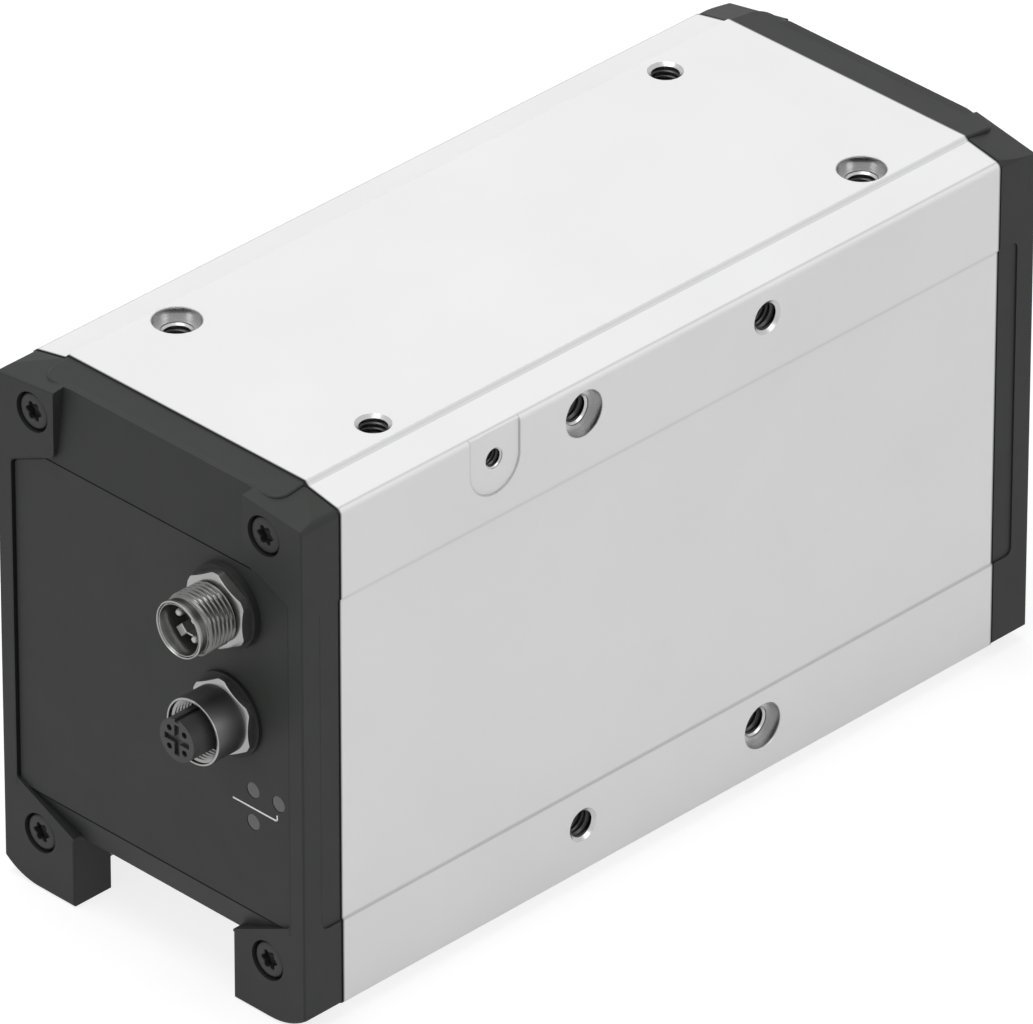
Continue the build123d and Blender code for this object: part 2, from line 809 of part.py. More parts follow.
with BuildPart() as front_carriages:
    with BuildSketch(Plane.XZ.offset(jaw_middle)):
        for x in (-rail_x, rail_x):
            with Locations((x, flange_top + carriage_height / 2)):
                Rectangle(carriage_width, carriage_height)
            with Locations((x, carriage_top)):
                slot_depth = carriage_over + guide_gap
                Rectangle(rail_width + 2 * guide_gap, 2 * slot_depth, mode=Mode.SUBTRACT)
    extrude(amount=carriage_length / 2, both=True)
    chamfer(front_carriages.edges().filter_by(Axis.Y).group_by(Axis.Z)[-1], carriage_chamfer)
save(front_carriages, "front_carriages")


def rack_outline():
    """Toothed bar on the +X side of the pinion, with a tooth opposite the pinion's centre at rest."""
    half_tooth = tooth_pitch / 4 - tooth_backlash / 2
    slope = tan(radians(pressure_angle))
    tip_x = pinion_pitch_radius - gear_module
    root_x = pinion_pitch_radius + root_factor * gear_module
    tip_half = half_tooth - gear_module * slope
    root_half = half_tooth + root_factor * gear_module * slope
    first = ceil(-rack_lead / tooth_pitch)
    last = floor((jaw_stroke + rack_overrun) / tooth_pitch)
    back_x = pinion_pitch_radius + rack_thickness
    start_y = -jaw_outer + rack_end_inset
    end_y = (last + 1) * tooth_pitch
    points = [(back_x, end_y), (back_x, start_y), (root_x, start_y)]
    for i in range(first, last + 1):
        y = i * tooth_pitch
        points += [(root_x, y - root_half), (tip_x, y - tip_half)]
        points += [(tip_x, y + tip_half), (root_x, y + root_half)]
    return points + [(root_x, end_y)]


with BuildPart() as front_rack:
    with BuildSketch(Plane.XY.offset(rack_low)):
        Polygon(*rack_outline(), align=None)
    extrude(amount=rack_height)
    with Locations(looking_down(rack_low, -jaw_middle)):
        with Locations(*rack_screw_spots):
            Hole(m3_radius, rack_screw_reach + screw_end_space)
save(front_rack, "front_rack")

with BuildPart() as front_rack_screws:
    with Locations(looking_down(jaw_low + rack_screw_sink, -jaw_middle)):
        with Locations(*rack_screw_spots):
            m3_screw(rack_low - jaw_low - rack_screw_sink + rack_screw_reach)
save(front_rack_screws, "front_rack_screws")

# The rear jaw is the front one turned half round about the pinion
for piece, name in ((front_jaw, "rear_jaw"), (front_carriages, "rear_carriages"),
                    (front_rack, "rear_rack"), (front_rack_screws, "rear_rack_screws")):
    with BuildPart() as turned:
        add(piece.part.rotate(Axis.Z, 180))
    save(turned, name)


# Gear train

def involute(angle):
    return tan(angle) - angle


def gear_points(teeth, tooth_angle):
    """Outline of a spur gear with a tooth at the given angle, in radians."""
    pitch_radius = gear_module * teeth / 2
    base_radius = pitch_radius * cos(radians(pressure_angle))
    root_radius = pitch_radius - root_factor * gear_module
    tip_radius = pitch_radius + gear_module
    half_at_pitch = pi / (2 * teeth) - tooth_backlash / (2 * pitch_radius)
    start_radius = max(base_radius, root_radius)
    flank = []
    for step in range(flank_steps + 1):
        radius = start_radius + (tip_radius - start_radius) * step / flank_steps
        swing = involute(radians(pressure_angle)) - involute(acos(base_radius / radius))
        flank.append((radius, half_at_pitch + swing))
    if root_radius < start_radius:
        flank.insert(0, (root_radius, flank[0][1]))
    points = []
    for tooth in range(teeth):
        middle = tooth_angle + 2 * pi * tooth / teeth
        rising = [(radius, middle - half) for radius, half in flank]
        falling = [(radius, middle + half) for radius, half in reversed(flank)]
        points += [(radius * cos(angle), radius * sin(angle)) for radius, angle in rising + falling]
    return points


lower_bearing_low = plate_top - bearing_width
collar_top = lower_bearing_low - running_gap

with BuildPart() as drive_pinion:
    # A gap faces each rack's middle tooth
    with BuildSketch(Plane.XY.offset(rack_low)):
        Polygon(*gear_points(pinion_teeth, pi / pinion_teeth), align=None)
    extrude(amount=rack_height)
    with Locations((0, 0, rack_top)):
        Cylinder(shaft_radius + bearing_ring, collar_top - rack_top, align=out_of_plane)
    with Locations((0, 0, collar_top)):
        Cylinder(shaft_radius, motor_plate_low + bearing_width - collar_top, align=out_of_plane)
save(drive_pinion, "drive_pinion")

with BuildPart() as drive_gear:
    with BuildSketch(Plane.XY.offset(gear_low)):
        Polygon(*gear_points(gear_teeth, pi / 2), align=None)
        Circle(shaft_radius, mode=Mode.SUBTRACT)
    extrude(amount=gear_width)
    web_outer = gear_pitch_radius - gear_rim
    for plane, away in ((Plane.XY.offset(gear_low), 1), (Plane.XY.offset(gear_top), -1)):
        with BuildSketch(plane):
            Circle(web_outer)
            Circle(gear_hub_radius, mode=Mode.SUBTRACT)
        extrude(amount=away * gear_web_sink, mode=Mode.SUBTRACT)
save(drive_gear, "drive_gear")

for low, name in ((lower_bearing_low, "lower_bearing"), (motor_plate_low, "upper_bearing")):
    with BuildPart() as bearing:
        with BuildSketch(Plane.XY.offset(low)):
            Circle(bearing_outer)
            Circle(shaft_radius + running_gap, mode=Mode.SUBTRACT)
        extrude(amount=bearing_width)
        for plane, away in ((Plane.XY.offset(low), 1), (Plane.XY.offset(low + bearing_width), -1)):
            with BuildSketch(plane):
                Circle(bearing_outer - bearing_ring)
                Circle(shaft_radius + bearing_ring, mode=Mode.SUBTRACT)
            extrude(amount=away * bearing_groove, mode=Mode.SUBTRACT)
    save(bearing, name)

with BuildPart() as motor_plate:
    with BuildSketch(Plane.XY.offset(motor_plate_low)):
        with Locations((0, (motor_plate_front + motor_plate_rear) / 2)):
            RectangleRounded(motor_plate_width, motor_plate_rear - motor_plate_front, pillar_radius)
    extrude(amount=motor_plate_thickness)
    with Locations(looking_down(motor_plate_low)):
        Hole(bearing_outer, bearing_width)
    with Locations(looking_down(motor_plate_low, motor_y)):
        Hole(motor_boss_radius, motor_plate_thickness)
        with PolarLocations(motor_screw_circle, 4, start_angle=45):
            CounterBoreHole(m3_radius + screw_hole_gap, m3_head_radius + screw_hole_gap,
                            m3_head_height, motor_plate_thickness)
save(motor_plate, "motor_plate")

with BuildPart() as pillars:
    with Locations(*[(x, y, plate_top) for x, y in pillar_spots]):
        Cylinder(pillar_radius, motor_plate_low - plate_top, align=out_of_plane)
save(pillars, "pillars")

with BuildPart() as motor:
    with Locations((0, motor_y, motor_plate_top)):
        Cylinder(motor_radius, motor_height, align=out_of_plane)
    fillet(motor.edges().filter_by(GeomType.CIRCLE), motor_edge_round)
    with Locations((0, motor_y, motor_plate_top - motor_boss_height)):
        Cylinder(motor_boss_radius - running_gap, motor_boss_height, align=out_of_plane)
    with Locations(looking_down(motor_plate_top - motor_boss_height, motor_y)):
        Hole(motor_shaft_radius + running_gap, motor_bore_depth + motor_boss_height)
    with Locations(looking_down(motor_plate_top, motor_y)):
        with PolarLocations(motor_screw_circle, 4, start_angle=45):
            Hole(m3_radius, motor_screw_reach + screw_end_space)
save(motor, "motor")

with BuildPart() as motor_screws:
    seat = motor_plate_low + m3_head_height
    with Locations(looking_down(seat, motor_y)):
        with PolarLocations(motor_screw_circle, 4, start_angle=45):
            m3_screw(motor_plate_top - seat + motor_screw_reach)
save(motor_screws, "motor_screws")

with BuildPart() as encoder:
    with Locations((0, motor_y, motor_plate_top + motor_height)):
        Cylinder(motor_radius - motor_lid_inset, motor_lid_height, align=out_of_plane)
    fillet(encoder.edges().filter_by(GeomType.CIRCLE).sort_by(Axis.Z)[-1], motor_edge_round)
save(encoder, "encoder")

with BuildPart() as motor_pinion:
    # A gap faces the tooth of the drive gear on the line between the two centres
    with BuildSketch(Plane.XY.offset(gear_low)):
        with Locations((0, motor_y)):
            Polygon(*gear_points(pinion_teeth, -pi / 2 + pi / pinion_teeth), align=None)
    extrude(amount=gear_width)
    with Locations((0, motor_y, gear_top)):
        Cylinder(motor_shaft_radius, motor_plate_top + motor_bore_depth - motor_end_play - gear_top,
                 align=out_of_plane)
save(motor_pinion, "motor_pinion")


# Electronics

with BuildPart() as port_board:
    with BuildSketch(Plane.XZ.offset(-port_board_y)):
        with Locations((0, plate_top + port_board_height / 2)):
            RectangleRounded(2 * (rib_inner - plate_side_gap), port_board_height, board_corner)
    extrude(amount=board_thickness / 2, both=True)
save(port_board, "port_board")

control_middle_y = (control_board_front + control_board_rear) / 2
control_length = control_board_rear - control_board_front
control_face = -cavity_half + heat_pad_thickness + board_thickness
control_middle_z = rib_top + control_board_height / 2

with BuildPart() as control_board:
    with BuildSketch(Plane.YZ.offset(-cavity_half + heat_pad_thickness)):
        with Locations((control_middle_y, control_middle_z)):
            RectangleRounded(control_length, control_board_height, board_corner)
    extrude(amount=board_thickness)
save(control_board, "control_board")

with BuildPart() as heat_pad:
    with BuildSketch(Plane.YZ.offset(-cavity_half)):
        with Locations((control_middle_y, control_middle_z)):
            Rectangle(heat_pad_length, heat_pad_height)
    extrude(amount=heat_pad_thickness)
save(heat_pad, "heat_pad")

with BuildPart() as capacitors:
    row_middle = Plane((control_face, capacitor_middle_y, control_middle_z), x_dir=(0, 1, 0), z_dir=(1, 0, 0))
    with Locations(row_middle):
        with GridLocations(capacitor_pitch, 0, capacitor_count, 1):
            Cylinder(capacitor_radius, capacitor_height, align=out_of_plane)
    fillet(capacitors.edges().filter_by(GeomType.CIRCLE).group_by(Axis.X)[-1], capacitor_round)
save(capacitors, "capacitors")
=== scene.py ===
import bmesh
import bpy
import json
from math import cos, pi, radians, sin, tan
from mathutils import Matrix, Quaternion, Vector


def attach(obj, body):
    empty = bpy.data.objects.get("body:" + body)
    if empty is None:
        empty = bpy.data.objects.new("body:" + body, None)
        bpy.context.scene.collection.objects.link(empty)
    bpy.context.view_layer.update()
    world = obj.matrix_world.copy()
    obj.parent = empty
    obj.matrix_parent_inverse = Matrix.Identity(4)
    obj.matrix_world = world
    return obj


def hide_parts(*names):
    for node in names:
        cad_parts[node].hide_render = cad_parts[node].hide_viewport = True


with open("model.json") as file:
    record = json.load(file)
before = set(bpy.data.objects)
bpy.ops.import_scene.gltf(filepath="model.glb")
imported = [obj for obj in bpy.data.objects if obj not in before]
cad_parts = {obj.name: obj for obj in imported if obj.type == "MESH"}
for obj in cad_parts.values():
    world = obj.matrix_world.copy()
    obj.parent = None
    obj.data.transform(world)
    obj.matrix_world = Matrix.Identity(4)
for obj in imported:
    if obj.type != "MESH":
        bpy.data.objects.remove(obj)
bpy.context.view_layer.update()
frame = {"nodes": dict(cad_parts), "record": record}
nodes = frame["nodes"]
MM = 0.001

# Sizes and places that the pieces here share with the CAD part, in millimetres
half_width = 37.5
half_length = 81.15
side_middle_z = -50.6
panel_y = -89.75
cap_face_y = -90.4
foot_z = -104.8
port_x = 18.8
power_z = -25.4
com_z = -47.3
screw_x = 28.35
screw_heights = (-93.3, -7.3)
top_hole_x, top_hole_y = 24.0, 60.0
side_hole_y, side_hole_rise = 22.5, 42.0
bore_radius, bore_depth = 4.5, 2.1
m6_radius, m4_radius = 3.0, 2.0
earth_y, earth_z = -44.15, -8.2
pad_middle_z, pad_radius = -9.1, 6.0
jaw_middle = 18.0
jaw_face_z = -101.4
jaw_hole_x, jaw_hole_y = 13.0, 10.0
panel_top_z, panel_bottom_z, panel_side_x = -15.6, -85.6, 33.9
panel_top_x, panel_shoulder_z = 26.15, -19.1

# Directions that the pieces point in
inward_from_top = (0, 0, -1)
inward_from_side = (-1, 0, 0)
inward_from_jaw = (0, 0, 1)
out = (0, -1, 0)


# Materials

def new_material(name):
    material = bpy.data.materials.new(name)
    material.use_nodes = True
    tree = material.node_tree
    return material, tree, tree.nodes["Principled BSDF"]


def noise(tree, scale, detail=4.0, stretch=(1.0, 1.0, 1.0)):
    """Noise over the part's own coordinates, with an optional stretch along the axes."""
    place = tree.nodes.new("ShaderNodeTexCoord")
    mapping = tree.nodes.new("ShaderNodeMapping")
    mapping.inputs["Scale"].default_value = stretch
    texture = tree.nodes.new("ShaderNodeTexNoise")
    texture.inputs["Scale"].default_value = scale
    texture.inputs["Detail"].default_value = detail
    tree.links.new(place.outputs["Object"], mapping.inputs["Vector"])
    tree.links.new(mapping.outputs["Vector"], texture.inputs["Vector"])
    return texture.outputs["Fac"]


def ramp(tree, source, low, high):
    """A colour ramp over the middle of the noise, between two colours or two grey values."""
    node = tree.nodes.new("ShaderNodeValToRGB")
    for element, place, colour in zip(node.color_ramp.elements, (0.35, 0.65), (low, high)):
        element.position = place
        element.color = (*colour, 1.0) if isinstance(colour, tuple) else (colour, colour, colour, 1.0)
    tree.links.new(source, node.inputs["Fac"])
    return node.outputs["Color"]


def bump(tree, shader, height, strength, distance):
    node = tree.nodes.new("ShaderNodeBump")
    node.inputs["Strength"].default_value = strength
    node.inputs["Distance"].default_value = distance
    tree.links.new(height, node.inputs["Height"])
    tree.links.new(node.outputs["Normal"], shader.inputs["Normal"])


drift_scale, patch_scale = 45.0, 130.0


def surface(name, colour, rough, metallic=0.0, spread=0.08, grain=900.0, grain_depth=0.00003,
            stretch=(1.0, 1.0, 1.0), strength=0.3, rough_spread=0.06, specular=0.5):
    """A finish whose colour and gloss drift a little over the surface, with a fine grain as bump."""
    material, tree, shader = new_material(name)
    shader.inputs["Metallic"].default_value = metallic
    shader.inputs["Specular IOR Level"].default_value = specular
    drift = noise(tree, drift_scale, detail=3.0)
    low = tuple(c * (1 - spread) for c in colour)
    high = tuple(min(1.0, c * (1 + spread)) for c in colour)
    tree.links.new(ramp(tree, drift, low, high), shader.inputs["Base Color"])
    patches = noise(tree, patch_scale, detail=5.0)
    gloss = ramp(tree, patches, rough - rough_spread, rough + rough_spread)
    tree.links.new(gloss, shader.inputs["Roughness"])
    bump(tree, shader, noise(tree, grain, detail=2.0, stretch=stretch), strength, grain_depth)
    return material


moulding = dict(colour=(0.0225, 0.0247, 0.0227), rough=0.55, spread=0.02, grain=2600.0, grain_depth=0.00004,
                rough_spread=0.02, specular=0.27)
plating = dict(metallic=1.0, rough_spread=0.02, strength=0.0)
finish_rows = {
    "cap_moulding": moulding,
    "seal_rubber": dict(colour=(0.012, 0.012, 0.012), rough=0.62, grain=1500.0, specular=0.35),
    "black_screw_steel": dict(colour=(0.0215, 0.023, 0.0215), rough=0.45, spread=0.04, grain=1800.0,
                              specular=0.32),
    "inner_screw_steel": dict(colour=(0.5, 0.5, 0.51), rough=0.34, metallic=1.0, spread=0.12),
    "connector_nickel": dict(colour=(0.36, 0.365, 0.358), rough=0.3, spread=0.02, **plating),
    # The next two rows are darker copies of the connector's nickel: painted shade on the same plating
    "thread_nickel_painted_shade": dict(colour=(0.17, 0.172, 0.168), rough=0.3, spread=0.02, **plating),
    "shell_nickel_painted_shade": dict(colour=(0.15, 0.153, 0.15), rough=0.42, spread=0.03, **plating),
    "seam_shade": dict(colour=(0.004, 0.004, 0.004), rough=0.7, spread=0.02, strength=0.0, specular=0.1),
    "bore_metal": dict(colour=(0.5, 0.5, 0.5), rough=0.27, metallic=1.0, spread=0.04, strength=0.0),
    "contact_carrier": dict(colour=(0.034, 0.036, 0.034), rough=0.5, spread=0.03, grain=2200.0, specular=0.4),
    "contact_metal": dict(colour=(0.5, 0.5, 0.49), rough=0.4, metallic=0.8, strength=0.05),
    "status_lens": dict(colour=(0.06, 0.062, 0.06), rough=0.22, grain=700.0, strength=0.08, specular=0.6),
    "plate_aluminium": dict(colour=(0.6, 0.61, 0.62), rough=0.38, metallic=1.0, spread=0.07, grain=700.0,
                            stretch=(1.0, 12.0, 1.0)),
    "jaw_aluminium": dict(colour=(0.2, 0.205, 0.21), rough=0.42, metallic=0.7, spread=0.08, grain=1400.0),
    "guide_steel": dict(colour=(0.55, 0.56, 0.57), rough=0.26, metallic=1.0, spread=0.06, grain=900.0,
                        stretch=(12.0, 1.0, 12.0)),
    "gear_steel": dict(colour=(0.32, 0.32, 0.325), rough=0.33, metallic=1.0, spread=0.14, grain=1300.0),
    "motor_shell": dict(colour=(0.045, 0.046, 0.05), rough=0.4, metallic=0.3, grain=1100.0),
    "encoder_shell": dict(colour=(0.06, 0.06, 0.065), rough=0.5, grain=1600.0),
    "circuit_board": dict(colour=(0.015, 0.12, 0.05), rough=0.38, spread=0.25, grain=500.0),
    "capacitor_can": dict(colour=(0.05, 0.06, 0.14), rough=0.35, spread=0.1, grain=800.0),
    # Near-black metal of the drilled holes' threads: painted shade of the inside of the holes
    "thread_metal_painted_shade": dict(colour=(0.06, 0.06, 0.06), rough=0.32, metallic=1.0, spread=0.05, strength=0.1),
    "print_white": dict(colour=(0.8, 0.8, 0.8), rough=0.6, grain=1800.0),
}
finishes = {name: surface(name, **row) for name, row in finish_rows.items()}


# Masks and shade lines over the part's own coordinates: places come in millimetres, coordinates in metres

def math_node(tree, operation, a, b=None):
    node = tree.nodes.new("ShaderNodeMath")
    node.operation = operation
    for socket, value in zip(node.inputs, (a, b)):
        if value is None:
            continue
        if isinstance(value, (int, float)):
            socket.default_value = value
        else:
            tree.links.new(value, socket)
    return node.outputs["Value"]


def part_axes(tree):
    """The part's own x, y and z."""
    place = tree.nodes.new("ShaderNodeTexCoord")
    parts = tree.nodes.new("ShaderNodeSeparateXYZ")
    tree.links.new(place.outputs["Object"], parts.inputs["Vector"])
    return parts.outputs


def over(tree, coordinate, limit):
    return math_node(tree, "GREATER_THAN", coordinate, limit * MM)


def under(tree, coordinate, limit):
    return math_node(tree, "LESS_THAN", coordinate, limit * MM)


def away_from(tree, coordinate, place):
    return math_node(tree, "SUBTRACT", coordinate, place * MM)


def product(tree, *factors):
    result = factors[0]
    for factor in factors[1:]:
        result = math_node(tree, "MULTIPLY", result, factor)
    return result


def distance(tree, across, up):
    squares = math_node(tree, "ADD", product(tree, across, across), product(tree, up, up))
    return math_node(tree, "SQRT", squares)


def scaled(tree, colour, factor):
    """A colour times a factor."""
    node = tree.nodes.new("ShaderNodeVectorMath")
    node.operation = "SCALE"
    tree.links.new(colour, node.inputs[0])
    tree.links.new(factor, node.inputs["Scale"])
    return node.outputs["Vector"]


def round_hole_mask(tree, first, second, depth, place, radius, limits):
    """1 inside a round hole: two coordinates across it, the coordinate along it, and its limits along it."""
    reach = distance(tree, away_from(tree, first, place[0]), away_from(tree, second, place[1]))
    return product(tree, under(tree, reach, radius), over(tree, depth, limits[0]), under(tree, depth, limits[1]))


def painted_shade_line(tree, coordinate, place, half, depth):
    """Painted shade: a factor that darkens a narrow line round one value of a coordinate, by a depth up to 1."""
    away = math_node(tree, "ABSOLUTE", away_from(tree, coordinate, place))
    near = math_node(tree, "SUBTRACT", 1.0, math_node(tree, "DIVIDE", away, half * MM))
    near = math_node(tree, "MAXIMUM", near, 0.0)
    return math_node(tree, "SUBTRACT", 1.0, math_node(tree, "MULTIPLY", near, depth))


def only_where(tree, factor, inside):
    """The factor where inside is 1, and 1 elsewhere."""
    return math_node(tree, "ADD", product(tree, factor, inside), math_node(tree, "SUBTRACT", 1.0, inside))


# Steps in the housing's outline, where painted shade lines lie
strip_step_high, strip_step_low, ledge_x, shoulder_step_x, shoulder_edge_x = -20.2, -85.0, 36.7, 29.3, 29.75
side_zone_x, top_zone_z, pad_zone_x = 37.1, -3.2, 36.8


def housing_painted_shade_lines(tree, x, y, z, wide_x, long_y):
    """Painted shade: darker lines in the steps of the outline, round the earth pad and at the joints with the caps.
    """
    on_side = over(tree, wide_x, side_zone_x)
    on_top = over(tree, z, top_zone_z)
    on_pad = over(tree, x, pad_zone_x)
    off_y = math_node(tree, "ABSOLUTE", away_from(tree, y, earth_y))
    off_z = math_node(tree, "MINIMUM", away_from(tree, z, pad_middle_z), 0.0)
    return product(
        tree,
        only_where(tree, painted_shade_line(tree, z, strip_step_high, half=0.6, depth=0.2), on_side),
        only_where(tree, painted_shade_line(tree, z, strip_step_low, half=0.42, depth=0.34), on_side),
        only_where(tree, painted_shade_line(tree, wide_x, ledge_x, half=0.36, depth=0.3), on_top),
        only_where(tree, painted_shade_line(tree, wide_x, shoulder_step_x, half=0.5, depth=0.2), on_top),
        only_where(tree, painted_shade_line(tree, wide_x, shoulder_edge_x, half=0.16, depth=0.22), on_top),
        painted_shade_line(tree, long_y, half_length, half=0.42, depth=0.96),
        only_where(tree, painted_shade_line(tree, distance(tree, off_y, off_z), pad_radius, half=0.22, depth=0.3), on_pad),
    )


def housing_finish_and_painted_shade():
    """Anodised outside with painted shade lines in the steps and at the joints with the caps, bare machined metal in
    the drilled holes.
    """
    material, tree, shader = new_material("housing_anodised")
    x, y, z = part_axes(tree)
    wide_x, long_y = math_node(tree, "ABSOLUTE", x), math_node(tree, "ABSOLUTE", y)
    off_middle = math_node(tree, "ABSOLUTE", away_from(tree, z, side_middle_z))
    bare_radius, earth_bare_radius = bore_radius + 0.25, m4_radius + 0.1
    top_limits, side_limits, earth_limits = (-12.5, -0.03), (25.0, 37.47), (29.0, 37.22)
    top = round_hole_mask(tree, wide_x, long_y, z, (top_hole_x, top_hole_y), bare_radius, top_limits)
    side = round_hole_mask(tree, long_y, off_middle, x, (side_hole_y, side_hole_rise), bare_radius, side_limits)
    earth = round_hole_mask(tree, y, z, x, (earth_y, earth_z), earth_bare_radius, earth_limits)
    bare = math_node(tree, "MAXIMUM", math_node(tree, "MAXIMUM", top, side), earth)
    drift = ramp(tree, noise(tree, 30.0, detail=3.0), (0.79, 0.797, 0.79), (0.812, 0.82, 0.812))
    mix = tree.nodes.new("ShaderNodeMix")
    mix.data_type = "RGBA"
    tree.links.new(bare, mix.inputs["Factor"])
    # The painted shade lines darken the anodised colour
    tree.links.new(scaled(tree, drift, housing_painted_shade_lines(tree, x, y, z, wide_x, long_y)), mix.inputs["A"])
    tree.links.new(ramp(tree, noise(tree, 400.0), (0.5, 0.5, 0.5), (0.62, 0.62, 0.62)), mix.inputs["B"])
    tree.links.new(mix.outputs["Result"], shader.inputs["Base Color"])
    tree.links.new(bare, shader.inputs["Metallic"])
    anodised_rough, bare_rough = 0.55, 0.28
    gloss = math_node(tree, "MULTIPLY_ADD", bare, bare_rough - anodised_rough)
    gloss.node.inputs[2].default_value = anodised_rough
    tree.links.new(gloss, shader.inputs["Roughness"])
    shader.inputs["Specular IOR Level"].default_value = 0.35
    bump(tree, shader, noise(tree, 3000.0, detail=2.0), strength=0.12, distance=0.00002)
    return material


# Where the front cap's shade lines lie
face_zone_y, cap_side_zone_x = -88.5, 36.8
strip_edge_y, strip_line_top, strip_line_bottom = -86.05, -20.8, -83.6


def front_cap_finish_and_shade():
    """The caps' moulding with soft shade lines at the panel's edge and at the strip along its sides."""
    material = surface("front_cap_moulding_and_shade", **moulding)
    tree = material.node_tree
    x, y, z = part_axes(tree)
    wide_x = math_node(tree, "ABSOLUTE", x)
    on_front = under(tree, y, face_zone_y)
    under_shoulder = product(tree, on_front, under(tree, z, panel_shoulder_z))
    beside = product(tree, under_shoulder, over(tree, z, panel_bottom_z))
    lean = (panel_top_z - panel_shoulder_z) / (panel_side_x - panel_top_x)
    slant = math_node(tree, "ADD", z, math_node(tree, "MULTIPLY", wide_x, lean))
    slant_place = panel_top_z + panel_top_x * lean
    over_shoulder = math_node(tree, "SUBTRACT", on_front, under_shoulder)
    on_shoulder = product(tree, over_shoulder, over(tree, wide_x, panel_top_x))
    on_strip = product(tree, over(tree, wide_x, cap_side_zone_x), under(tree, z, strip_line_top),
                       over(tree, z, strip_line_bottom))
    # Painted shade lines at the panel's side edge, along its shoulder and at the strip's edge
    shade = product(
        tree,
        only_where(tree, painted_shade_line(tree, wide_x, panel_side_x, half=0.45, depth=0.65), beside),
        only_where(tree, painted_shade_line(tree, slant, slant_place, half=0.6, depth=0.5), on_shoulder),
        only_where(tree, painted_shade_line(tree, y, strip_edge_y, half=0.4, depth=0.5), on_strip),
    )
    base = tree.nodes["Principled BSDF"].inputs["Base Color"]
    tree.links.new(scaled(tree, base.links[0].from_socket, shade), base)
    return material


finishes["housing_anodised"] = housing_finish_and_painted_shade()
slots = {part["node"]: part["material_slot"] for part in frame["record"]["subparts"]}
for name, node in nodes.items():
    node.data.materials.clear()
    node.data.materials.append(finishes[slots[name]])
nodes["front_cap"].data.materials[0] = front_cap_finish_and_shade()


# Pieces are made as meshes from points in millimetres

def make_piece(name, points, faces, slot_name, body, smooth=True, finish=None, first_faces=0, first_finish=None):
    """A piece in one finish, or with another finish on its first faces."""
    mesh = bpy.data.meshes.new(name)
    mesh.from_pydata([Vector(p) * MM for p in points], [], faces)
    if first_faces:
        for polygon in mesh.polygons[:first_faces]:
            polygon.material_index = 1
    built = bmesh.new()
    built.from_mesh(mesh)
    bmesh.ops.remove_doubles(built, verts=built.verts, dist=1e-7)
    bmesh.ops.recalc_face_normals(built, faces=built.faces)
    built.to_mesh(mesh)
    built.free()
    mesh.materials.append(finishes[finish or slot_name])
    if first_faces:
        mesh.materials.append(finishes[first_finish])
    piece = bpy.data.objects.new(name, mesh)
    bpy.context.scene.collection.objects.link(piece)
    if smooth:
        mesh.shade_smooth()
        mesh.set_sharp_from_angle(angle=radians(32))
    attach(piece, body)
    return piece


def grid_faces(rows, across, round_rows=True, round_across=True):
    """Faces between rows of points, closed round either way."""
    faces = []
    for i in range(rows if round_rows else rows - 1):
        for j in range(across if round_across else across - 1):
            k, m = (i + 1) % rows, (j + 1) % across
            faces.append((i * across + j, i * across + m, k * across + m, k * across + j))
    return faces


def axes_of(axis):
    """Two unit vectors across an axis, so that (first, second, axis) is right-handed."""
    axis = Vector(axis)
    first = Vector((1, 0, 0)) if abs(axis.x) < 0.5 else Vector((0, 1, 0))
    first = (first - axis * first.dot(axis)).normalized()
    return first, axis.cross(first), axis


def turned(profile, centre, axis, segments=72, closed=True):
    """Points and faces of an outline of (radius, height) turned round an axis."""
    first, second, along = axes_of(axis)
    centre = Vector(centre)
    points = []
    for i in range(segments):
        angle = 2 * pi * i / segments
        way = first * cos(angle) + second * sin(angle)
        points += [centre + way * r + along * h for r, h in profile]
    return points, grid_faces(segments, len(profile), round_across=closed)


def helix(centre, axis, start, end, wall, crest, pitch, root, segments=40):
    """A thread ridge with a closed section between heights start and end, from the wall to the crest radius."""
    first, second, along = axes_of(axis)
    centre = Vector(centre)
    turns = (end - start - pitch) / pitch
    steps = int(turns * segments)
    points = []
    half_root, half_crest = pitch * 0.4, pitch * 0.05
    for i in range(steps + 1):
        angle = 2 * pi * i / segments
        height = start + pitch / 2 + pitch * i / segments
        # The ridge fades in and out over its first and last third of a turn
        fade = min(1.0, i / (segments / 3), (steps - i) / (segments / 3))
        top = wall + (crest - wall) * max(fade, 0.02)
        way = first * cos(angle) + second * sin(angle)
        section = ((root, -half_root), (wall, -half_root), (top, -half_crest), (top, half_crest),
                   (wall, half_root), (root, half_root))
        points += [centre + way * r + along * (height + h) for r, h in section]
    corners = len(section)
    faces = grid_faces(steps + 1, corners, round_rows=False)
    faces.append(tuple(range(corners)))
    faces.append(tuple(steps * corners + j for j in reversed(range(corners))))
    return points, faces


def joined(shapes):
    points, faces = [], []
    for p, f in shapes:
        shift = len(points)
        points += p
        faces += [tuple(i + shift for i in face) for face in f]
    return points, faces


# Drilled holes: the middle of each on its face, and whether it starts with a centring bore
top_holes = [((x, y, 0), x * y > 0) for x in (-top_hole_x, top_hole_x) for y in (-top_hole_y, top_hole_y)]
side_holes = [((half_width, y, side_middle_z + rise), y * rise < 0) for y in (-side_hole_y, side_hole_y)
              for rise in (-side_hole_rise, side_hole_rise)]
earth_hole = (half_width, earth_y, earth_z)

# Their threads: radii and pitch of each size, and the depths where the ridges end
M6 = dict(wall=m6_radius, crest=2.5, pitch=1.0, root=3.15)
M5 = dict(wall=2.5, crest=2.1, pitch=0.8, root=2.62)
M4 = dict(wall=m4_radius, crest=1.65, pitch=0.7, root=2.1)
m6_end, small_end = 11.2, 7.4


def hole_threads(holes, inward, plain_start, bored_start, end, size):
    return [helix(spot, inward, bored_start if bored else plain_start, end, **size) for spot, bored in holes]
